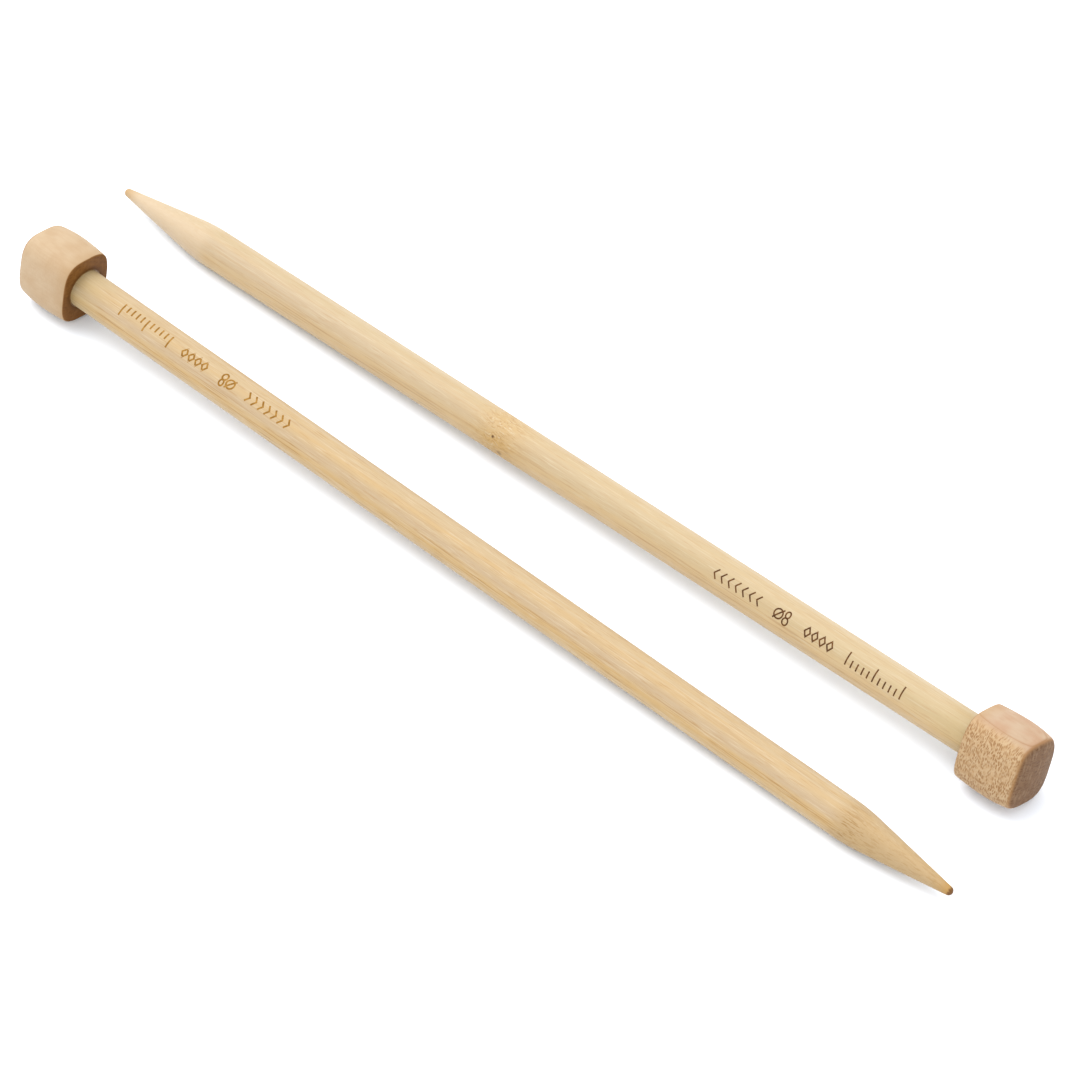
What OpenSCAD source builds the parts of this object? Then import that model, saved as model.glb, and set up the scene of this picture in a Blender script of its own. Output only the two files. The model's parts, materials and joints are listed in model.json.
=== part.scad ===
// A pair of single-point straight knitting needles, in millimetres.
// Each needle is a bamboo shaft with a tapered point and a wooden stopper knob glued on its
// other end. They lie side by side on the plane z = 0, pointing opposite ways.

/* [Shaft] */
// Diameter of the shaft, which is the needle's gauge
shaft_d = 8.0; // [6:0.5:8.5]
// Overall length, from the outer end of the knob to the point
needle_len = 235.5; // [180:0.5:350]
// Length of the taper, up to where its cone would meet the straight shaft
taper_len = 22.5; // [18:0.5:30]
// Radius of the rounded tip
tip_r = 0.9; // [0.7:0.1:1.3]
// Radius of the soft shoulder between the straight shaft and the taper
shoulder_r = 45; // [20:5:60]

/* [Knob] */
// Height of the knob across its two narrower faces, where it is largest
knob_h = 15.2; // [14:0.1:17]
// Width of the knob across its two wider faces, where it is largest
knob_w = 12.8; // [12.4:0.1:17]
// Length of the knob along the needle
knob_len = 13.5; // [13:0.1:17]
// Squareness of the knob's cross-section: 2 is an ellipse, and a high value is a sharp rectangle
knob_square = 3.3; // [2.6:0.1:5]
// Share of the knob's length, from its outer end, at which it is largest
knob_largest = 0.5; // [0.4:0.01:0.7]
// How far the faces fall away from the largest place to the outer end
outer_crown = 0.8; // [0.2:0.05:1]
// How far the faces fall away from the largest place to the inner end
inner_crown = 0.4; // [0.2:0.05:1]
// Radius of the rounded edge round the outer end
outer_edge_r = 1.2; // [0.8:0.1:3]
// Radius of the small rounded edge round the inner face
inner_edge_r = 0.4; // [0.2:0.1:1]
// Height of the slight dome on the outer end
knob_dome = 0.4; // [0.2:0.1:1]

/* [Glued joint] */
// Depth of the blind socket in the knob
socket_depth = 9.5; // [7:0.5:10]
// How much the buried end of the shaft is turned down, off its radius
tenon_step = 0.4; // [0.4:0.05:0.8]
// Thickness of the glue film round the end of the shaft
glue_film = 0.15; // [0.1:0.01:0.2]
// Gap between the end of the shaft and the bottom of the socket
end_gap = 0.4; // [0.2:0.1:0.8]
// Width and depth of the countersink at the mouth of the socket
countersink = 0.5; // [0.3:0.05:0.7]
// Chamfer on the buried end of the shaft
end_chamfer = 0.5; // [0.2:0.1:1]

/* [Layout] */
// Distance between the two needles, from axis to axis
needle_gap = 28; // [20:1:60]
// How far each needle is shifted towards its own point
needle_shift = 2; // [0:0.1:30]
// Turn of needle A about its own axis, in degrees
roll_a = -11; // [-30:1:30]
// Turn of needle B about its own axis, in degrees
roll_b = 20; // [-30:1:30]

/* [Hidden] */

bamboo = [0.91, 0.80, 0.62];
knob_wood = [0.87, 0.72, 0.55];
cured_glue = [0.80, 0.66, 0.36];

// The shaft is turned down over the socket's depth, so its full size starts at the knob's face
shaft_r = shaft_d / 2;
tenon_r = shaft_r - tenon_step;
socket_r = tenon_r + glue_film;
mouth_r = socket_r + countersink;
socket_z = knob_len - socket_depth;
tenon_z = socket_z + end_gap;
round_fn = 96;

// The taper's half angle: its cone touches the rounded tip and meets the shaft at taper_len
cone_run = taper_len - tip_r;
taper_angle = acos(tip_r / norm([shaft_r, cone_run])) - atan2(cone_run, shaft_r);
shoulder_z = needle_len - taper_len - shoulder_r * tan(taper_angle / 2);
arc_steps = 12;

// The knob is a stack of squarish slices: its outer end is at 0 and its inner face at knob_len
slice_h = 0.01;
outline_steps = 48;
dome_steps = 3;
edge_steps = 5;
body_steps = 7;
rim_steps = 3;
largest_z = knob_largest * knob_len;
body_z = knob_dome + outer_edge_r;
rim_z = knob_len - inner_edge_r;

// Half of the knob's knob_h at height z, before its edges are rounded
function crowned(z) = knob_h / 2 - (z < largest_z
    ? outer_crown * pow((largest_z - z) / largest_z, 2)
    : inner_crown * pow((z - largest_z) / (knob_len - largest_z), 2));

// The slices as [height, half of knob_h there]: dome, outer edge, faces, edge of the inner face
slices = concat(
    [for (i = [0 : dome_steps - 1])
        [knob_dome * pow(i / dome_steps, 2),
            (crowned(knob_dome) - outer_edge_r) * (i + 1) / (dome_steps + 1)]],
    [for (i = [0 : edge_steps - 1])
        let (a = 90 * i / edge_steps, z = knob_dome + outer_edge_r * (1 - cos(a)))
        [z, crowned(z) - outer_edge_r * (1 - sin(a))]],
    [for (i = [0 : body_steps])
        let (z = body_z + (rim_z - body_z) * i / body_steps)
        [z, crowned(z)]],
    [for (i = [1 : rim_steps])
        let (a = 90 * i / rim_steps, z = rim_z + (inner_edge_r - slice_h) * sin(a))
        [z, crowned(z) - inner_edge_r * (1 - cos(a))]]
);

// Closed outline of a slice: a rounded rectangle that reaches half_h from its centre along x
function squarish(half_h) = [for (i = [0 : outline_steps - 1])
    let (a = 360 * i / outline_steps)
    half_h * [cos(a), sin(a) * knob_w / knob_h]
        / pow(pow(abs(cos(a)), knob_square) + pow(abs(sin(a)), knob_square), 1 / knob_square)];

// How far the outline of half height 1 reaches along x when it is turned about its centre
function reach(roll) = max([for (p = squarish(1)) p.x * cos(roll) - p.y * sin(roll)]);

// Height of the axis at the knob's outer end, when the knob touches z = 0 on a given slope
function end_height(slope, roll) =
    max([for (s = slices) s[1] * reach(roll) * cos(slope) + s[0] * sin(slope)]);

// Slope at which a needle rests on its knob and on the end of its straight shaft
function rest_slope(roll, rounds = 4) = rounds == 0 ? 0
    : asin((end_height(rest_slope(roll, rounds - 1), roll) - shaft_r) / shoulder_z);

// The knobs reach out by different amounts, so this offset centres the pair on the origin
centre_y = knob_h / 4 * (reach(90 + roll_a) - reach(90 + roll_b));

// Half of the shaft's outline, as [radius, height above the knob's outer end]
shaft_profile = concat(
    [[0, tenon_z], [tenon_r - end_chamfer, tenon_z], [tenon_r, tenon_z + end_chamfer],
        [tenon_r, knob_len], [shaft_r, knob_len]],
    [for (i = [0 : arc_steps])
        let (a = taper_angle * i / arc_steps)
        [shaft_r - shoulder_r * (1 - cos(a)), shoulder_z + shoulder_r * sin(a)]],
    [for (i = [0 : arc_steps - 1])
        let (a = taper_angle + (90 - taper_angle) * i / arc_steps)
        [tip_r * cos(a), needle_len - tip_r + tip_r * sin(a)]],
    [[0, needle_len]]
);

// Half of the glue's outline: it fills the socket round the shaft's end, and the countersink
glue_profile = [
    [0, socket_z], [socket_r, socket_z], [socket_r, knob_len - countersink],
    [mouth_r, knob_len], [tenon_r, knob_len], [tenon_r, tenon_z + end_chamfer],
    [tenon_r - end_chamfer, tenon_z], [0, tenon_z]
];

// Lays a needle on the table: it points along +X, and a half turn points it along -X
module lay(turn, roll, y) {
    slope = rest_slope(roll);
    translate([0, y + centre_y, 0])
        rotate([0, 0, turn])
        translate([needle_shift - needle_len * cos(slope) / 2, 0, end_height(slope, roll)])
        rotate([0, 90 + slope, 0])
        rotate([0, 0, roll])
        children();
}

module lay_a() {
    lay(0, roll_a, -needle_gap / 2) children();
}

module lay_b() {
    lay(180, roll_b, needle_gap / 2) children();
}

module shaft() {
    color(bamboo) rotate_extrude($fn = round_fn) polygon(shaft_profile);
}

module knob_blank() {
    hull()
        for (s = slices)
            translate([0, 0, s[0]]) linear_extrude(slice_h) polygon(squarish(s[1]));
}

module knob() {
    color(knob_wood)
        difference() {
            knob_blank();
            translate([0, 0, socket_z])
                cylinder(r = socket_r, h = socket_depth + 1, $fn = round_fn);
            translate([0, 0, knob_len - countersink])
                cylinder(r1 = socket_r, r2 = mouth_r + countersink, h = 2 * countersink,
                    $fn = round_fn);
        }
}

module glue() {
    color(cured_glue) rotate_extrude($fn = round_fn) polygon(glue_profile);
}

module shaft_a() { lay_a() shaft(); }
module knob_a() { lay_a() knob(); }
module glue_a() { lay_a() glue(); }
module shaft_b() { lay_b() shaft(); }
module knob_b() { lay_b() knob(); }
module glue_b() { lay_b() glue(); }

shaft_a();
knob_a();
glue_a();
shaft_b();
knob_b();
glue_b();
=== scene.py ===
"""The looks of a pair of bamboo knitting needles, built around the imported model."""
import json
import math

import bmesh
import bpy
from mathutils import Matrix, Vector, noise


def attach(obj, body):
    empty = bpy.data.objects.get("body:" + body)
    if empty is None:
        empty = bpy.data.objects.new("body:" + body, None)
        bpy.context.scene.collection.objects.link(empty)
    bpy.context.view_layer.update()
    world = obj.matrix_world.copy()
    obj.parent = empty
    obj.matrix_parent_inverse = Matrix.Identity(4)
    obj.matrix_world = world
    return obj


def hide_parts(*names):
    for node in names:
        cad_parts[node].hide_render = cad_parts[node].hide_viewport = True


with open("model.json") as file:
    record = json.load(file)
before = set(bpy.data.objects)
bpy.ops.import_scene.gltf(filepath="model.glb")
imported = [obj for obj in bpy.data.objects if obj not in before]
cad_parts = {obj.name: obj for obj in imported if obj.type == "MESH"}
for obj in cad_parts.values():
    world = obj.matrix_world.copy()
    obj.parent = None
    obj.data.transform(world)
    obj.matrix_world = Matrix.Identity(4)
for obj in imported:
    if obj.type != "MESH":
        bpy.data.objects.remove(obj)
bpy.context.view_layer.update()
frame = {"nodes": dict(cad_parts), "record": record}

MM = 0.001
MOUNTS = {mount["name"]: mount for mount in frame["record"]["mounts"]}

# The shaft, in metres along the needle from the knob's outer end, as in the solids
SHAFT_R = MOUNTS["shaft_pin_a"]["dims"]["r_mm"] * MM
STRAIGHT_LEN = MOUNTS["shaft_pin_a"]["dims"]["length_mm"] * MM
NEEDLE_LEN = 235.5 * MM
TIP_R = 0.9 * MM
SHOULDER_R = 45 * MM

# The knob and its glued socket
KNOB_LEN = 13.5 * MM
KNOB_HALF = 15.2 / 2 * MM
KNOB_FLAT = 12.8 / 15.2
LARGEST_Z = 0.5 * KNOB_LEN
OUTER_CROWN = 0.8 * MM
INNER_CROWN = 0.4 * MM
OUTER_EDGE_R = 1.2 * MM
INNER_EDGE_R = 0.4 * MM
KNOB_DOME = 0.4 * MM
SOCKET_Z = KNOB_LEN - 9.5 * MM
TENON_Z = SOCKET_Z + 0.4 * MM
TENON_R = SHAFT_R - 0.4 * MM
TENON_CHAMFER = 0.5 * MM
SOCKET_R = TENON_R + 0.15 * MM
COUNTERSINK = 0.5 * MM

SHOULDER_Z = KNOB_LEN + STRAIGHT_LEN

# The superellipse's exponent for the knob's section, and for a circle
KNOB_EXPONENT = 3.3
CIRCLE_EXPONENT = 2

# How the meshes are made
AROUND = 128
SHARP_ANGLE = math.radians(35)
TIP_START = math.radians(84)
ROW_GAP = 4 * MM
NODE_ROW_GAP = 0.3 * MM
NODE_REACH = 7 * MM
PIT_ZONE = 2.6 * MM
PIT_DEPTH = 0.07 * MM
PIT_WIDTH = 0.8 * MM
PIT_LEN = 1.6 * MM
SANDING = 0.009
SANDING_SIZE = 5 * MM
SOCKET_MARGIN = 0.1 * MM
FACE_MARGIN = 0.2 * MM

# Which way the side towards the table, with its warm bands and its painted light, and the darker line
# along the upper edge lie on both shafts, in the shared frame
LOWER_SIDE = Vector((0, -0.84, -0.55))
FRONT_SIDE = Vector((0, -0.55, 0.84))


class Needle:
    """One needle: its body, and its own frame, in which z runs from the knob to the point."""

    def __init__(self, name, roll, seed):
        mount = MOUNTS["shaft_pin_" + name]
        along = Vector(mount["axis"]).normalized()
        side = Vector((0, 0, 1)).cross(along).normalized()
        down = side.cross(along)
        self.name = "needle_" + name
        self.letter = name
        self.seed = seed
        end = Vector(mount["pos_m"]) - along * (KNOB_LEN + STRAIGHT_LEN / 2)
        turned = Matrix((down, side, along)).transposed() @ Matrix.Rotation(roll, 3, "Z")
        self.matrix = Matrix.Translation(end) @ turned.to_4x4()
        self.roll = roll
        self.under = self.across_axis(turned, LOWER_SIDE)
        self.front = self.across_axis(turned, FRONT_SIDE)

    @staticmethod
    def across_axis(turned, direction):
        """The direction in the needle's own frame, made square to its axis."""
        own = turned.transposed() @ direction
        return Vector((own.x, own.y, 0)).normalized()


# ---------------------------------------------------------------- meshes


def add_piece(name, points, faces, needle, material):
    """Makes a closed mesh, given in the needle's own frame, and lets it ride on the needle."""
    mesh = bpy.data.meshes.new(name)
    mesh.from_pydata([needle.matrix @ Vector(p) for p in points], [], faces)
    shape = bmesh.new()
    shape.from_mesh(mesh)
    bmesh.ops.recalc_face_normals(shape, faces=shape.faces)
    for face in shape.faces:
        face.smooth = True
    for edge in shape.edges:
        edge.smooth = edge.calc_face_angle(0) < SHARP_ANGLE
    shape.to_mesh(mesh)
    shape.free()
    mesh.materials.append(material)
    piece = bpy.data.objects.new(name, mesh)
    bpy.context.scene.collection.objects.link(piece)
    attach(piece, needle.name)
    return piece


def skin(rings, first_z, last_z):
    """A closed skin through rings of equal length, with a pole on the axis at each end."""
    points = [(0, 0, first_z)]
    faces = []
    for ring in rings:
        points.extend(ring)
    points.append((0, 0, last_z))
    count = len(rings[0])
    last = len(points) - 1
    for i in range(count):
        j = (i + 1) % count
        faces.append((0, 1 + i, 1 + j))
        faces.append((last, last - count + j, last - count + i))
        for row in range(len(rings) - 1):
            low = 1 + row * count
            faces.append((low + i, low + j, low + count + j, low + count + i))
    return points, faces


def arc(start, end, steps):
    """Angles from start to end, both included."""
    return [start + (end - start) * i / steps for i in range(steps + 1)]


def shaft_profile(row_gap):
    """(radius, z) from the buried end to the point. row_gap(z) is the distance between rows."""
    taper = taper_angle()
    rows = [(TENON_R - TENON_CHAMFER, TENON_Z), (TENON_R, TENON_Z + TENON_CHAMFER)]
    rows += [(TENON_R, KNOB_LEN), (SHAFT_R, KNOB_LEN)]
    z = KNOB_LEN + row_gap(KNOB_LEN)
    while z < SHOULDER_Z - row_gap(SHOULDER_Z) / 2:
        rows.append((SHAFT_R, z))
        z += row_gap(z)
    for a in arc(0, taper, 12):
        rows.append((SHAFT_R - SHOULDER_R * (1 - math.cos(a)), SHOULDER_Z + SHOULDER_R * math.sin(a)))
    for a in arc(taper, TIP_START, 14):
        rows.append((TIP_R * math.cos(a), NEEDLE_LEN - TIP_R + TIP_R * math.sin(a)))
    return rows


def taper_angle():
    """The taper's half angle, found from the lengths that the mount and the needle state."""
    low, high = 0.0, math.radians(30)
    for _ in range(50):
        a = (low + high) / 2
        arc_r = SHAFT_R - SHOULDER_R * (1 - math.cos(a))
        arc_z = SHOULDER_Z + SHOULDER_R * math.sin(a)
        run = NEEDLE_LEN - TIP_R + TIP_R * math.sin(a) - arc_z
        if arc_r - run * math.tan(a) > TIP_R * math.cos(a):
            low = a
        else:
            high = a
    return (low + high) / 2


def crowned(z):
    """Half height of the knob at z, before its edges are rounded."""
    if z < LARGEST_Z:
        return KNOB_HALF - OUTER_CROWN * ((LARGEST_Z - z) / LARGEST_Z) ** 2
    return KNOB_HALF - INNER_CROWN * ((z - LARGEST_Z) / (KNOB_LEN - LARGEST_Z)) ** 2


def section(half, squareness, z):
    """A ring round the axis: a squareness of 1 is the knob's own section, and 0 is a circle."""
    exponent = CIRCLE_EXPONENT + (KNOB_EXPONENT - CIRCLE_EXPONENT) * squareness
    flat = 1 + (KNOB_FLAT - 1) * squareness
    ring = []
    for i in range(AROUND):
        a = 2 * math.pi * i / AROUND
        c, s = math.cos(a), math.sin(a)
        r = half / (abs(c) ** exponent + abs(s) ** exponent) ** (1 / exponent)
        ring.append((r * c, r * s * flat, z))
    return ring


def knob_rings():
    """Rings of the knob: dome, outer edge, crowned sides, rim, inner face, and socket."""
    dome_half = crowned(KNOB_DOME) - OUTER_EDGE_R
    rings = []
    for share in arc(0.06, 1, 10)[:-1]:
        rings.append((dome_half * share, 1, KNOB_DOME * share ** 2))
    for a in arc(0, math.pi / 2, 10)[:-1]:
        z = KNOB_DOME + OUTER_EDGE_R * (1 - math.cos(a))
        rings.append((crowned(z) - OUTER_EDGE_R * (1 - math.sin(a)), 1, z))
    rim_z = KNOB_LEN - INNER_EDGE_R
    for z in arc(KNOB_DOME + OUTER_EDGE_R, rim_z, 22):
        rings.append((crowned(z), 1, z))
    for a in arc(0, math.pi / 2, 6)[1:]:
        z = rim_z + INNER_EDGE_R * math.sin(a)
        rings.append((crowned(z) - INNER_EDGE_R * (1 - math.cos(a)), 1, z))
    rim_half = crowned(KNOB_LEN) - INNER_EDGE_R
    mouth_r = SOCKET_R + COUNTERSINK
    for share in arc(0, 1, 6)[1:]:
        rings.append((rim_half + (mouth_r - rim_half) * share, 1 - share, KNOB_LEN))
    rings.append((SOCKET_R, 0, KNOB_LEN - COUNTERSINK))
    rings.append((SOCKET_R, 0, SOCKET_Z))
    return rings


def hand_sanded(point, seed):
    """Draws a point of the knob's skin inwards by a few hundredths of a millimetre."""
    x, y, z = point
    in_socket = math.hypot(x, y) < SOCKET_R + COUNTERSINK + SOCKET_MARGIN
    if in_socket or z > KNOB_LEN - FACE_MARGIN:
        return point
    bump = noise.noise(Vector((x, y, z)) / SANDING_SIZE + Vector((seed, 0, 0)))
    share = 1 - SANDING * (0.5 + 0.5 * bump)
    return (x * share, y * share, z)


def make_knob(needle, material):
    """The knob, with its blind socket."""
    rings = [section(*ring) for ring in knob_rings()]
    rings = [[hand_sanded(p, needle.seed) for p in ring] for ring in rings]
    points, faces = skin(rings, 0, SOCKET_Z)
    knob = add_piece(needle.name + "_knob", points, faces, needle, material)
    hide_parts("knob_" + needle.letter)


def make_shaft(needle, material, node_z=None):
    """The shaft. At a bamboo node its surface has small shallow pits."""

    def row_gap(z):
        at_node = node_z is not None and abs(z - node_z) < NODE_REACH
        return NODE_ROW_GAP if at_node else ROW_GAP

    rings = []
    for r, z in shaft_profile(row_gap):
        ring = []
        for i in range(AROUND):
            a = 2 * math.pi * i / AROUND
            c, s = math.cos(a), math.sin(a)
            depth = 0 if node_z is None else pit_depth(r * c, r * s, z, node_z)
            ring.append(((r - depth) * c, (r - depth) * s, z))
        rings.append(ring)
    points, faces = skin(rings, TENON_Z, NEEDLE_LEN)
    shaft = add_piece(needle.name + "_shaft", points, faces, needle, material)
    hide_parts("shaft_" + needle.letter)


def pit_depth(x, y, z, node_z):
    """How deep the shaft's surface is pitted at a place near its node."""
    closeness = math.exp(-(((z - node_z) / PIT_ZONE) ** 2))
    if closeness < 0.01:
        return 0
    rough = noise.noise(Vector((x / PIT_WIDTH, y / PIT_WIDTH, z / PIT_LEN)))
    return PIT_DEPTH * closeness * max(0, rough)


# ---------------------------------------------------------------- burnt marks

# The marks' height and the longest straight step along them, in millimetres
CAP = 2.75
STEP = 0.22
# How far the strips stand above the shaft, and how deep they are let in
MARK_PROUD = 0.008 * MM
MARK_DEPTH = 0.05 * MM


def ellipse(cx, cy, rx, ry):
    """Points on an ellipse, in millimetres. The last point is left out, to be closed later."""
    return [(cx + rx * math.cos(a), cy + ry * math.sin(a)) for a in arc(0, 2 * math.pi, 20)[:-1]]


def eight():
    """Its strokes as (outline, closed), and the distance to the next mark."""
    top = ellipse(0.62, 0.76 * CAP, 0.5, 0.24 * CAP)
    bottom = ellipse(0.62, 0.26 * CAP, 0.6, 0.26 * CAP)
    return [(top, True), (bottom, True)], 1.5


def diameter_sign():
    ring = ellipse(1.0, CAP / 2, 0.95, 0.95)
    slash = [(0.1, 0.08 * CAP), (1.9, 0.92 * CAP)]
    return [(ring, True), (slash, False)], 2.3


def lozenge():
    return [([(0.65, 0.14 * CAP), (1.3, CAP / 2), (0.65, 0.86 * CAP), (0, CAP / 2)], True)], 1.8


def chevron():
    return [([(0.75, 0.12 * CAP), (0, CAP / 2), (0.75, 0.88 * CAP)], False)], 1.75


def tick(height):
    return [([(0.4, 0), (0.4, height * CAP)], False)], 1.3


def gauge_marks():
    """The marks as (start in millimetres, glyphs), from the point's side towards the knob."""
    ticks = [tick(1 if i % 5 == 0 else 0.55) for i in range(11)]
    return [
        (0.0, [chevron()] * 7),
        (14.8, [diameter_sign(), eight()]),
        (22.2, [lozenge()] * 4),
        (32.2, ticks),
    ]


def resampled(points, closed):
    """The same outline with a point at least every STEP, so that it can bend round the shaft."""
    ends = points + points[:1] if closed else points
    dense = []
    for (x0, y0), (x1, y1) in zip(ends, ends[1:]):
        pieces = max(1, math.ceil(math.hypot(x1 - x0, y1 - y0) / STEP))
        for i in range(pieces):
            dense.append((x0 + (x1 - x0) * i / pieces, y0 + (y1 - y0) * i / pieces))
    return dense if closed else dense + [ends[-1]]


def stroke_edges(points, closed, width):
    """Left and right edge points of a stroke along the outline, with mitred corners."""
    count = len(points)
    edges = []
    for i, (x, y) in enumerate(points):
        before = points[i - 1] if closed or i > 0 else points[i]
        after = points[(i + 1) % count] if closed or i < count - 1 else points[i]
        ahead = Vector((after[0] - x, after[1] - y))
        behind = Vector((x - before[0], y - before[1]))
        ahead = ahead.normalized() if ahead.length else behind.normalized()
        behind = behind.normalized() if behind.length else ahead
        along = (ahead + behind).normalized()
        across = Vector((-along.y, along.x)) * width / 2 / max(0.5, along.dot(ahead))
        edges.append(((x + across.x, y + across.y), (x - across.x, y - across.y)))
    return edges


def on_shaft(u, v, start_z, angle, radius):
    """Wraps a mark's flat place onto the shaft: u runs towards the knob, and v up round it."""
    turn = angle + v * MM / SHAFT_R
    return (radius * math.cos(turn), radius * math.sin(turn), start_z - u * MM)


def add_stroke(points, faces, outline, closed, width, place):
    """Adds one stroke of a mark as a closed thin strip that is let into the shaft."""
    edges = stroke_edges(resampled(outline, closed), closed, width)
    first = len(points)
    for left, right in edges:
        for radius in (SHAFT_R + MARK_PROUD, SHAFT_R - MARK_DEPTH):
            points.append(place(*left, radius))
            points.append(place(*right, radius))
    count = len(edges)
    for i in range(count if closed else count - 1):
        a = first + 4 * i
        b = first + 4 * ((i + 1) % count)
        for k, m in ((0, 1), (1, 3), (3, 2), (2, 0)):
            faces.append((a + k, a + m, b + m, b + k))
    if not closed:
        end = first + 4 * (count - 1)
        faces.append((first, first + 1, first + 3, first + 2))
        faces.append((end, end + 1, end + 3, end + 2))


def make_marks(needle, material, start_z, angle, width):
    """Plain gauge marks: chevrons to the point, the diameter, lozenges and a tick scale."""
    points, faces = [], []
    for start, glyphs in gauge_marks():
        across = start
        for strokes, advance in glyphs:
            def place(u, v, radius, shift=across):
                low = v - CAP / 2
                return on_shaft(u + shift, low, start_z, angle - needle.roll, radius)

            for outline, closed in strokes:
                add_stroke(points, faces, outline, closed, width, place)
            across += advance
    add_piece(needle.name + "_gauge_marks", points, faces, needle, material)


# ---------------------------------------------------------------- materials

# The studio's light. STUDIO_LEVEL is how bright a white surface shows in it
ROOM_LEVEL = 1.5
KEY_POWER = 2.0
STUDIO_LEVEL = ROOM_LEVEL + 0.8 * KEY_POWER / math.pi


def tone(red, green, blue):
    """A base colour that shows as this screen colour, from 0 to 255, in the studio's light."""
    values = [c / 255 for c in (red, green, blue)]
    linear = [c / 12.92 if c <= 0.04045 else ((c + 0.055) / 1.055) ** 2.4 for c in values]
    return [c / STUDIO_LEVEL for c in linear] + [1]


class Shader:
    """A material being built, with short ways to add and link its nodes."""

    def __init__(self, name, roughness, specular=0.4):
        self.material = bpy.data.materials.new(name)
        self.material.use_nodes = True
        self.tree = self.material.node_tree
        self.surface = self.tree.nodes["Principled BSDF"]
        self.surface.inputs["Roughness"].default_value = roughness
        self.surface.inputs["Specular IOR Level"].default_value = specular

    def add(self, kind, inputs=(), **settings):
        made = self.tree.nodes.new("ShaderNode" + kind)
        for key, value in settings.items():
            setattr(made, key, value)
        for key, value in dict(inputs).items():
            if isinstance(value, bpy.types.NodeSocket):
                self.tree.links.new(value, made.inputs[key])
            else:
                made.inputs[key].default_value = value
        return made

    def put(self, key, value):
        self.tree.links.new(value, self.surface.inputs[key])

    def in_frame(self, needle, kind="Object"):
        """The shaded place, or the direction that its surface faces, in the needle's own frame."""
        source = self.add("TexCoord").outputs[kind]
        origin = needle.matrix.to_translation() if kind == "Object" else Vector((0, 0, 0))
        inputs = {"Vector": source, "Location": origin, "Rotation": needle.matrix.to_euler("XYZ")}
        return self.add("Mapping", inputs, vector_type="TEXTURE").outputs["Vector"]

    def axes(self, vector):
        return self.add("SeparateXYZ", {"Vector": vector}).outputs

    def noise(self, place, size, seed=0.0, detail=2.0, rough=0.5, output="Fac"):
        """Noise whose features are size millimetres along each axis of the needle's frame."""
        scale = [1 / (s * MM) for s in size]
        scaled = self.add("Mapping", {"Vector": place, "Scale": scale}).outputs["Vector"]
        inputs = {"Vector": scaled, "W": seed, "Scale": 1.0, "Detail": detail, "Roughness": rough}
        return self.add("TexNoise", inputs, noise_dimensions="4D").outputs[output]

    def dot(self, place, direction):
        inputs = {0: place, 1: direction}
        return self.add("VectorMath", inputs, operation="DOT_PRODUCT").outputs["Value"]

    def math(self, operation, first, second=0.0):
        inputs = {0: first, 1: second}
        return self.add("Math", inputs, operation=operation).outputs[0]

    def span(self, value, low, high, to_low=0.0, to_high=1.0):
        """to_low where value is low, to_high where it is high, and a smooth step between."""
        inputs = {"Value": value, "From Min": low, "From Max": high, "To Min": to_low, "To Max": to_high}
        return self.add("MapRange", inputs, interpolation_type="SMOOTHSTEP").outputs["Result"]

    def mix(self, share, first, second):
        """The first colour, with this share of the second."""
        inputs = {0: share, 6: first, 7: second}
        return self.add("Mix", inputs, data_type="RGBA", clamp_factor=True).outputs[2]

    def bump(self, height, depth, strength=1.0):
        inputs = {"Height": height, "Distance": depth, "Strength": strength}
        self.put("Normal", self.add("Bump", inputs).outputs["Normal"])


def near(shader, value, centre, width):
    """1 where value is centre, falling to 0 over about width on either side."""
    away = shader.math("DIVIDE", shader.math("SUBTRACT", value, centre), width)
    square = shader.math("MULTIPLY", away, away)
    return shader.math("EXPONENT", shader.math("MULTIPLY", square, -1.0))


# Sizes of the bamboo's features in millimetres: two across the needle, and one along it
FIBRES = (0.34, 0.34, 24)
BROAD_STREAKS = (1.1, 1.1, 60)
BUNDLES = (0.26, 0.26, 16)
MOTTLE = (1.2, 1.2, 9)
LIGHT_LINES = (0.22, 0.22, 7)
DARK_LINES = (0.22, 0.22, 5)
CUT_DASHES = (0.32, 0.32, 3.6)
NODE_DASHES = (0.26, 0.26, 2.2)
NODE_GLINTS = (0.24, 0.24, 2.6)
SWIRLS = (1.6, 1.6, 2.6)
RAGGED_EDGE = (1.2, 1.2, 2)

NODE_WILD = 3.6 * MM
NODE_GOLD = 5.5 * MM
NODE_GOLD_SHIFT = 1.5 * MM
SWIRL_REACH = 2.4 * MM
RAGGED_REACH = 1.6 * MM
STAIN_LEN = 4 * MM
TIP_EDGE = 0.5 * MM
BAND_WAVE = 0.8 * MM
KNOB_SHADE_LEN = 11 * MM
WOOD_BUMP = 0.02 * MM


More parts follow.
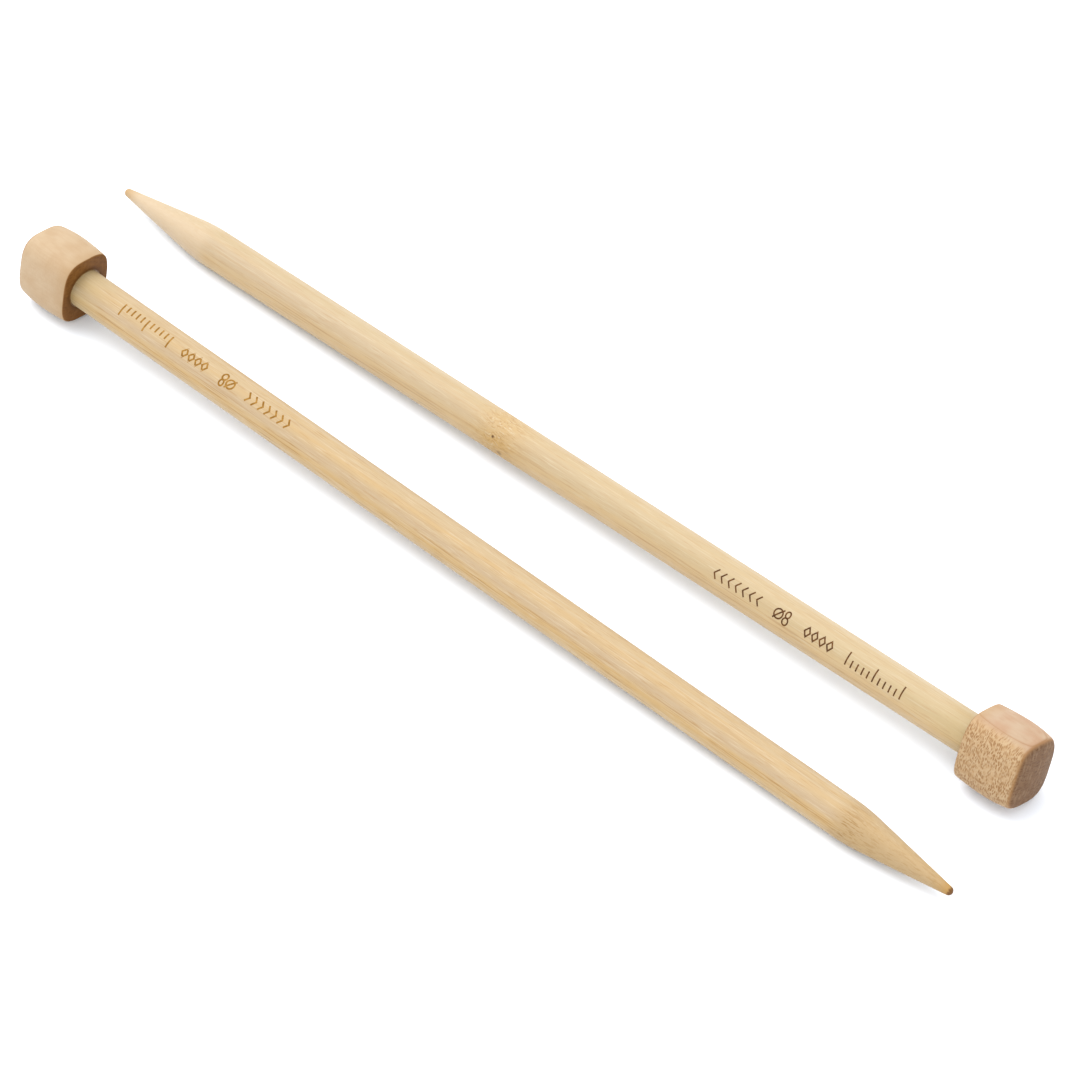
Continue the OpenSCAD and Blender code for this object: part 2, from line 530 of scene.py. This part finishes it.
def bamboo(needle, tones, streaks, bands, node_z=None, tip_share=1.0):
    """Pale bamboo: long fibres in coloured bands, and dashes where the taper cuts them."""
    shader = Shader("bamboo_" + needle.letter, roughness=0.52, specular=0.25)
    seed = needle.seed
    place = shader.in_frame(needle)
    z = shader.axes(place)["Z"]
    wild = None
    if node_z is not None:
        wild = near(shader, z, node_z, NODE_WILD)
        place = stirred(shader, place, wild, seed)
    under = shader.dot(place, needle.under)
    fibres = shader.noise(place, FIBRES, seed, 3, 0.7)
    broad = shader.noise(place, BROAD_STREAKS, seed + 1, 2, 0.5)
    bundles = shader.noise(place, BUNDLES, seed + 2, 2, 0.6)
    mottle = shader.noise(place, MOTTLE, seed + 3, 2, 0.5)

    colour = side_tones_and_painted_light(shader, tones, z, under)
    colour = shader.mix(shader.span(broad, 0.46, 0.62, 0, 0.5 * streaks), colour, tones["golden"])
    colour = banded(shader, colour, tones, bands, under, broad)
    colour = shader.mix(shader.span(fibres, 0.48, 0.74, 0, 0.7 * streaks), colour, tones["streak"])
    colour = shader.mix(shader.span(mottle, 0.5, 0.78, 0, 0.3), colour, tones["streak"])
    colour = fine_lines(shader, colour, tones, place, seed)
    colour = upper_edge_line(shader, colour, tones, shader.dot(place, needle.front), under, mottle)
    colour = bundle_lines(shader, colour, tones, streaks, bundles, under)
    colour = taper_look(shader, colour, tones, place, z, needle, tip_share)
    if node_z is not None:
        colour = node_look(shader, colour, tones, needle, wild, node_z)
    # Painted shade: the shaft is painted darker and duller for 11 mm out of the knob, where the knob
    # shades it.
    shaded = shader.span(z, KNOB_LEN, KNOB_LEN + KNOB_SHADE_LEN, tones["shade_share"], 0)
    colour = shader.mix(shaded, colour, tones["shade"])
    shader.put("Base Color", colour)
    shader.put("Roughness", shader.span(fibres, 0.3, 0.7, 0.46, 0.58))
    shader.bump(shader.math("ADD", fibres, bundles), WOOD_BUMP, 0.5)
    return shader.material


def side_tones_and_painted_light(shader, tones, z, under):
    """The upper side is a little paler, with a painted highlight along its edge, and the side towards
    the table is painted lighter and warmer, as painted light that offsets the shade there.
    """
    colour = shader.mix(shader.span(z, KNOB_LEN, NEEDLE_LEN), tones["knob_end"], tones["point_end"])
    colour = shader.mix(shader.span(under, 0.5 * MM, -3.2 * MM), colour, tones["upper"])
    # Painted highlight: a paler band along the upper edge.
    colour = shader.mix(shader.span(under, -2.7 * MM, -3.6 * MM, 0, 0.45), colour, tones["light"])
    # Painted light: the side towards the table is painted lighter and warmer, to offset its shade.
    return shader.mix(shader.span(under, 0.3 * MM, 3.4 * MM), colour, tones["lower_painted_light"])


def banded(shader, colour, tones, bands, under, broad):
    """Wavy coloured bands along the shaft, each as (place, width, share, tone)."""
    wavy = shader.math("ADD", under, shader.math("MULTIPLY", broad, BAND_WAVE))
    for centre, width, share, key in bands:
        band = near(shader, wavy, centre + BAND_WAVE / 2, width)
        colour = shader.mix(shader.math("MULTIPLY", band, share), colour, tones[key])
    return colour


def fine_lines(shader, colour, tones, place, seed):
    """Short thin lines along the grain, some lighter and some darker."""
    lights = shader.noise(place, LIGHT_LINES, seed + 4, 2, 0.6)
    darks = shader.noise(place, DARK_LINES, seed + 8, 2, 0.6)
    colour = shader.mix(shader.span(lights, 0.53, 0.65, 0, 0.55), colour, tones["light"])
    return shader.mix(shader.span(darks, 0.56, 0.68, 0, 0.45), colour, tones["dash"])


def upper_edge_line(shader, colour, tones, front, under, mottle):
    """A thin, broken darker orange line just inside the upper edge, on the side that faces the front."""
    line = near(shader, front, 1.1 * MM, 0.6 * MM)
    line = shader.math("MULTIPLY", line, shader.span(mottle, 0.35, 0.6, 0.35, 1))
    above = shader.span(under, -2 * MM, -3.4 * MM, 0, 0.32)
    return shader.mix(shader.math("MULTIPLY", line, above), colour, tones["rim"])


def bundle_lines(shader, colour, tones, streaks, bundles, under):
    """The fibre bundles show as thin dark lines, mostly low on the side."""
    toward = shader.span(under, 0.8 * MM, 2.4 * MM, 0.25, 1.0)
    lines = shader.math("MULTIPLY", shader.span(bundles, 0.54, 0.64, 0, streaks), toward)
    return shader.mix(lines, colour, tones["bundle"])


def stirred(shader, place, wild, seed):
    """The place, pushed about where the grain is wild."""
    turn = shader.noise(place, SWIRLS, seed + 9, 2, output="Color")
    centred = shader.add("VectorMath", {0: turn, 1: (0.5, 0.5, 0.5)}, operation="SUBTRACT")
    reach = shader.math("MULTIPLY", wild, SWIRL_REACH)
    moved = shader.add("VectorMath", {0: centred.outputs[0], "Scale": reach}, operation="SCALE")
    return shader.add("VectorMath", {0: place, 1: moved.outputs[0]}, operation="ADD").outputs[0]


def taper_look(shader, colour, tones, place, z, needle, tip_share):
    """Small golden dashes where the taper cuts the fibres, and a stained tip."""
    seed = needle.seed
    dashes = shader.noise(place, CUT_DASHES, seed + 6, 3, 0.65)
    taper = shader.span(z, SHOULDER_Z - 1.5 * MM, SHOULDER_Z + 2.5 * MM)
    side = shader.span(shader.dot(place, needle.under), -2.6 * MM, 0.5 * MM, 0.3, 0.75)
    cut = shader.math("MULTIPLY", side, taper)
    colour = shader.mix(cut, colour, tones["cut"])
    most, least = 1.4 * tip_share, 0.55 * tip_share
    fewer = shader.span(z, SHOULDER_Z + 2 * MM, SHOULDER_Z + 9 * MM, most, least)
    strength = shader.math("MULTIPLY", shader.span(dashes, 0.49, 0.62), cut)
    strength = shader.math("MULTIPLY", strength, fewer)
    colour = shader.mix(strength, colour, tones["cut_dash"])
    ragged = shader.noise(place, RAGGED_EDGE, seed + 7, 2, 0.6)
    height = shader.math("ADD", z, shader.math("MULTIPLY", ragged, RAGGED_REACH))
    warm = shader.span(height, NEEDLE_LEN - STAIN_LEN, NEEDLE_LEN + TIP_EDGE, 0, 0.85)
    colour = shader.mix(warm, colour, tones["stain"])
    end = shader.span(height, NEEDLE_LEN, NEEDLE_LEN + TIP_EDGE, 0, tip_share)
    return shader.mix(end, colour, tones["tip"])


def node_look(shader, colour, tones, needle, wild, node_z):
    """Fine dashes along the grain, dark specks, painted glints and a golden zone at a bamboo node."""
    seed = needle.seed
    place = shader.in_frame(needle)
    z = shader.axes(place)["Z"]
    gold = near(shader, z, node_z - NODE_GOLD_SHIFT, NODE_GOLD)
    low = shader.span(shader.dot(place, needle.under), 0, 3 * MM, 0.55, 0.95)
    colour = shader.mix(shader.math("MULTIPLY", gold, low), colour, tones["node"])
    twisted = stirred(shader, place, wild, seed)
    dashes = shader.noise(twisted, NODE_DASHES, seed + 5, 2, 0.6)
    strength = shader.math("MULTIPLY", shader.span(dashes, 0.5, 0.62, 0, 0.62), gold)
    colour = shader.mix(strength, colour, tones["bundle"])
    # Painted glints: short pale lines in the stirred grain, painted in as highlights.
    glints = shader.noise(twisted, NODE_GLINTS, seed + 12, 2, 0.6)
    strength = shader.math("MULTIPLY", shader.span(glints, 0.56, 0.64, 0, 0.8), gold)
    colour = shader.mix(strength, colour, tones["light"])
    for turn, height, radius, share in NODE_SPECKS:
        speck = speck_share(shader, place, turn - needle.roll, height, radius)
        colour = shader.mix(shader.math("MULTIPLY", speck, share), colour, tones["speck"])
    return colour


def speck_share(shader, place, turn, height, radius):
    """1 in the middle of a small dark speck on the shaft's surface, and 0 round it."""
    centre = (SHAFT_R * math.cos(turn), SHAFT_R * math.sin(turn), height)
    distance = shader.add("VectorMath", {0: place, 1: centre}, operation="DISTANCE").outputs["Value"]
    return shader.span(distance, radius, 0.35 * radius)


# Sizes of the knob wood's features in millimetres, and its growth rings and flecks
CLOUDS = (4, 4, 5)
GRAIN = (0.4, 0.9, 5)
RING_SWAY = (6, 6, 14)
LACE = (0.9, 0.9, 1.1)
FLECK_CELL = (0.75, 2.5, 0.3)
FLECK_BENDS = (3, 3, 4)
FLECK_GAPS = (2.4, 2.4, 3)
END_PORES = (0.35, 1.1, 2)
END_PATCHES = (2.2, 0.7, 3)
RING_GAP = 1.7 * MM
RING_START = 0.3 * MM
RING_SWAY_REACH = 0.5 * MM
RING_BEND_R = 60 * MM
FLECK_SHIFT = (1.2 * MM, 0.8 * MM, 1.6 * MM)
WARM_RIM = 3.5 * MM
SOCKET_HALO = 1.5 * MM
KNOB_BUMP = 0.03 * MM


def knob_wood(needle, tones, flecks, rings):
    """Close-grained hardwood: its fibres run along the needle, and its rays show as flecks."""
    shader = Shader("knob_wood_" + needle.letter, roughness=0.55, specular=0.12)
    seed = needle.seed + 20
    place = shader.in_frame(needle)
    facing = shader.axes(shader.in_frame(needle, "Normal"))
    clouds = shader.noise(place, CLOUDS, seed, 2, 0.5)
    grain = shader.noise(place, GRAIN, seed + 1, 3, 0.6)

    colour = shader.mix(shader.span(clouds, 0.35, 0.65), tones["pale"], tones["pink"])
    colour = shader.mix(shader.span(grain, 0.45, 0.75, 0, 0.3), colour, tones["grain"])
    colour = shader.mix(ring_lines(shader, place, seed, rings), colour, tones["grain"])
    rim = shader.span(shader.axes(place)["Z"], KNOB_LEN - WARM_RIM, KNOB_LEN, 0, 0.4)
    colour = shader.mix(rim, colour, tones["rim"])
    side = shader.span(shader.math("ABSOLUTE", facing["Y"]), 0.3, 0.85)
    dashes = shader.math("MULTIPLY", ray_flecks(shader, place, seed), side)
    dashes = shader.math("MULTIPLY", dashes, flecks)
    colour = flecked(shader, colour, tones, place, seed, side, flecks)
    colour = shader.mix(dashes, colour, tones["fleck"])
    colour = end_grain_and_shade(shader, colour, tones, place, facing, seed)
    shader.put("Base Color", colour)
    shader.put("Roughness", shader.span(grain, 0.3, 0.7, 0.5, 0.62))
    shader.bump(shader.math("SUBTRACT", grain, dashes), KNOB_BUMP, 0.6)
    return shader.material


def ring_lines(shader, place, seed, share):
    """The growth rings lie level, so the crowned top cuts them into wide loops."""
    sway = shader.noise(place, RING_SWAY, seed + 2, 2, 0.5)
    swayed = shader.math("MULTIPLY", sway, RING_SWAY_REACH)
    across = shader.math("ADD", across_rings(shader, place), swayed)
    counted = shader.math("DIVIDE", shader.math("SUBTRACT", across, RING_START), RING_GAP)
    return shader.span(shader.math("FRACT", counted), 0.86, 0.97, 0, share)


def flecked(shader, colour, tones, place, seed, side, flecks):
    """The paler ground and the lace between the flecks, on the two faces that the rays run into."""
    colour = shader.mix(shader.math("MULTIPLY", side, flecks), colour, tones["side"])
    lace = shader.span(shader.noise(place, LACE, seed + 6, 3, 0.6), 0.4, 0.62)
    lace = shader.math("MULTIPLY", shader.math("MULTIPLY", lace, side), 0.6 * flecks)
    return shader.mix(lace, colour, tones["lace"])


def across_rings(shader, place):
    """Distance across the growth rings, which curve gently."""
    axes = shader.axes(place)
    bend = shader.math("MULTIPLY", shader.math("MULTIPLY", axes["Y"], axes["Y"]), 1 / RING_BEND_R)
    return shader.math("ADD", axes["X"], bend)


def ray_flecks(shader, place, seed):
    """1 in the middle of each small dash. The dashes lie in bent rows, and are weaker in places."""
    warp = shader.noise(place, FLECK_BENDS, seed + 3, 1, 0.5, "Color")
    shift = {0: warp, 1: FLECK_SHIFT, 2: place}
    warped = shader.add("VectorMath", shift, operation="MULTIPLY_ADD").outputs[0]
    scale = [1 / (s * MM) for s in FLECK_CELL]
    cells_place = shader.add("Mapping", {"Vector": warped, "Scale": scale}).outputs["Vector"]
    cells = shader.add("TexVoronoi", {"Vector": cells_place, "Scale": 1.0, "Randomness": 0.85})
    dash = shader.span(cells.outputs["Distance"], 0.64, 0.24)
    gaps = shader.noise(place, FLECK_GAPS, seed + 5, 2, 0.5)
    thin = shader.span(gaps, 0.36, 0.56, 0.72, 1)
    return shader.math("MULTIPLY", dash, thin)


def end_grain_and_shade(shader, colour, tones, place, facing, seed):
    """Both end faces are darker and browner, with fine pores: partly end grain that drinks more finish,
    and partly painted shade. A painted shadow rings the socket on the inner face.
    """
    # Painted shade, in part: the ends and the rounded edges next to them are darker than end grain alone
    # would be.
    end = shader.math("ABSOLUTE", facing["Z"])
    colour = shader.mix(shader.span(end, 0.3, 0.7, 0, 0.75), colour, tones["edge"])
    pores = shader.noise(place, END_PORES, seed + 4, 3, 0.6)
    dark = shader.mix(shader.span(pores, 0.4, 0.7), tones["end"], tones["end_dark"])
    pale = shader.noise(place, END_PATCHES, seed + 7, 2, 0.6)
    dark = shader.mix(shader.span(pale, 0.48, 0.66, 0, 0.55), dark, tones["end_light"])
    # Painted shadow: a dark ring round the socket's mouth on the inner face, where the shaft goes into
    # the knob.
    axes = shader.axes(place)
    sides = {"X": axes["X"], "Y": axes["Y"]}
    radius = shader.add("CombineXYZ", sides).outputs[0]
    radius = shader.add("VectorMath", {0: radius}, operation="LENGTH").outputs["Value"]
    inner = shader.span(axes["Z"], KNOB_LEN / 2, KNOB_LEN)
    halo = shader.span(radius, SHAFT_R + SOCKET_HALO, SHAFT_R, 0, 0.6)
    ring = shader.math("MULTIPLY", halo, inner)
    dark = shader.mix(ring, dark, tones["painted_socket_shadow"])
    return shader.mix(shader.span(end, 0.6, 0.9, 0, 1), colour, dark)


# Sizes of the scorch's and the glue's patches in millimetres
SCORCH = (0.7, 0.7, 1.5)
GLUE_CLOUDS = (0.8, 0.8, 0.8)


def burnt(needle, dark, light):
    """Scorched wood, uneven along the marks."""
    shader = Shader("burnt_mark_" + needle.letter, roughness=0.8, specular=0.15)
    place = shader.in_frame(needle)
    patchy = shader.noise(place, SCORCH, needle.seed + 40, 2, 0.6)
    shader.put("Base Color", shader.mix(shader.span(patchy, 0.35, 0.7), dark, light))
    shader.bump(patchy, WOOD_BUMP)
    return shader.material


def dried_glue(needle):
    """Amber wood glue with faint clouds."""
    shader = Shader("dried_glue_" + needle.letter, roughness=0.3)
    place = shader.in_frame(needle)
    clouds = shader.noise(place, GLUE_CLOUDS, needle.seed + 50, 3, 0.6)
    shader.put("Base Color", shader.mix(clouds, tone(120, 84, 38), tone(168, 126, 66)))
    shader.bump(clouds, WOOD_BUMP)
    return shader.material


def coat_glue(needle):
    """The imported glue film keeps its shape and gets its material."""
    glue = frame["nodes"]["glue_" + needle.letter]
    material = dried_glue(needle)
    for slot in glue.material_slots:
        slot.material = material


# ---------------------------------------------------------------- studio


FLOOR_COLOUR = (0.85, 0.89, 0.95, 1)
FLOOR_HALF = 6
KEY_SPREAD = math.radians(50)
KEY_SIDE = Vector((-0.5, 0, 1))


def make_floor():
    """A plain pale floor, far wider than the view."""
    size = FLOOR_HALF
    mesh = bpy.data.meshes.new("floor")
    corners = [(-size, -size, 0), (size, -size, 0), (size, size, 0), (-size, size, 0)]
    mesh.from_pydata(corners, [], [(0, 1, 2, 3)])
    floor = bpy.data.objects.new("floor", mesh)
    bpy.context.scene.collection.objects.link(floor)
    shader = Shader("pale_floor", roughness=0.9, specular=0.0)
    shader.surface.inputs["Base Color"].default_value = FLOOR_COLOUR
    mesh.materials.append(shader.material)


def make_light():
    """A white room, and one broad soft light high on the side of needle A's knob."""
    world = bpy.data.worlds.new("studio")
    world.use_nodes = True
    room = world.node_tree.nodes["Background"]
    room.inputs["Color"].default_value = (1.0, 1.0, 1.0, 1)
    room.inputs["Strength"].default_value = ROOM_LEVEL
    bpy.context.scene.world = world
    key = bpy.data.lights.new("key", "SUN")
    key.energy = KEY_POWER
    key.angle = KEY_SPREAD
    lamp = bpy.data.objects.new("key", key)
    lamp.rotation_euler = KEY_SIDE.to_track_quat("Z", "Y").to_euler()
    bpy.context.scene.collection.objects.link(lamp)


def make_camera():
    """A long lens, high to the front right, that looks just beside the pair's centre."""
    azimuth = math.radians(42.59)
    elevation = math.radians(47.02)
    distance = 1003 * MM
    target = Vector((4.96, 1.83, 0)) * MM
    flat = math.cos(elevation)
    back = Vector((math.sin(azimuth) * flat, -math.cos(azimuth) * flat, math.sin(elevation)))
    camera = bpy.data.objects.new("camera", bpy.data.cameras.new("camera"))
    camera.data.lens = 175.4
    camera.data.sensor_width = 36
    camera.location = target + back * distance
    camera.rotation_euler = (math.pi / 2 - elevation, 0, azimuth)
    bpy.context.scene.collection.objects.link(camera)
    bpy.context.scene.camera = camera


# ---------------------------------------------------------------- the pair

needle_a = Needle("a", roll=math.radians(-11), seed=3.0)
needle_b = Needle("b", roll=math.radians(20), seed=11.0)
NODE_Z = 131.5 * MM
BANDS_A = [
    (1.0 * MM, 0.9 * MM, 0.8, "dull"),
    (-1.0 * MM, 0.8 * MM, 0.42, "golden"),
    (2.7 * MM, 0.9 * MM, 0.95, "golden"),
]
BANDS_B = [(3.1 * MM, 0.7 * MM, 0.25, "golden")]
NODE_SPECKS = [
    (math.radians(122), 131.0 * MM, 0.42 * MM, 0.9),
    (math.radians(82), 128.9 * MM, 0.8 * MM, 0.5),
]

# The bamboo tones. The pale "light" tone also serves as a painted highlight along the upper edge and as
# painted glints at the node, the tone of the side towards the table is painted light, and the "shade"
# tone is painted shade next to the knob.
BAMBOO_A = {
    "knob_end": tone(227, 199, 154), "point_end": tone(226, 198, 157), "upper": tone(228, 200, 156),
    "lower_painted_light": tone(240, 212, 168), "golden": tone(230, 190, 126), "streak": tone(218, 186, 140),
    "light": tone(244, 220, 184), "bundle": tone(188, 140, 76), "dash": tone(198, 150, 84),
    "dull": tone(220, 192, 155), "rim": tone(202, 154, 98), "tip": tone(140, 92, 36),
    "cut": tone(214, 180, 128), "cut_dash": tone(186, 144, 84), "stain": tone(208, 160, 84),
    "shade": tone(200, 178, 124), "shade_share": 0.4,
}
BAMBOO_B = {
    "knob_end": tone(228, 203, 156), "point_end": tone(230, 205, 171), "upper": tone(230, 205, 162),
    "lower_painted_light": tone(254, 221, 168), "golden": tone(236, 198, 140), "streak": tone(222, 190, 148),
    "light": tone(244, 224, 188), "bundle": tone(198, 152, 94), "dash": tone(214, 174, 122),
    "node": tone(234, 192, 122), "rim": tone(204, 154, 100), "tip": tone(214, 160, 96),
    "cut": tone(250, 224, 188), "cut_dash": tone(226, 186, 136), "stain": tone(224, 182, 124),
    "shade": tone(212, 182, 116), "shade_share": 0.3, "speck": tone(112, 72, 40),
}
# The knob tones: the end tones are darker partly as painted shade, and the deepest one is a painted
# shadow round the socket.
KNOB_A = {
    "pale": tone(234, 205, 168), "pink": tone(225, 192, 152), "grain": tone(214, 180, 140),
    "side": tone(222, 188, 148), "fleck": tone(202, 164, 120), "lace": tone(212, 174, 130),
    "rim": tone(204, 162, 110), "edge": tone(186, 136, 80), "end": tone(150, 99, 44),
    "end_light": tone(160, 110, 56), "end_dark": tone(126, 78, 28), "painted_socket_shadow": tone(86, 50, 14),
}
KNOB_B = {
    "pale": tone(227, 197, 165), "pink": tone(219, 178, 143), "grain": tone(200, 156, 116),
    "side": tone(238, 204, 158), "fleck": tone(176, 128, 80), "lace": tone(214, 170, 118),
    "rim": tone(214, 170, 112), "edge": tone(180, 128, 74), "end": tone(150, 112, 78),
    "end_light": tone(176, 142, 108), "end_dark": tone(118, 82, 52), "painted_socket_shadow": tone(100, 66, 40),
}

make_camera()
make_floor()
make_light()
bpy.context.scene.view_settings.view_transform = "Standard"

plain_bamboo = bamboo(needle_a, BAMBOO_A, streaks=0.7, bands=BANDS_A)
noded_bamboo = bamboo(needle_b, BAMBOO_B, streaks=0.45, bands=BANDS_B, node_z=NODE_Z, tip_share=0.2)
make_shaft(needle_a, plain_bamboo)
make_shaft(needle_b, noded_bamboo, NODE_Z)
make_knob(needle_a, knob_wood(needle_a, KNOB_A, flecks=0.12, rings=0.15))
make_knob(needle_b, knob_wood(needle_b, KNOB_B, flecks=0.85, rings=0.65))
golden_burn = burnt(needle_a, tone(166, 116, 42), tone(202, 152, 76))
brown_burn = burnt(needle_b, tone(96, 62, 36), tone(138, 94, 54))
make_marks(needle_a, golden_burn, start_z=71.3 * MM, angle=math.radians(202), width=0.38)
make_marks(needle_b, brown_burn, start_z=75 * MM, angle=math.radians(139), width=0.32)
coat_glue(needle_a)
coat_glue(needle_b)
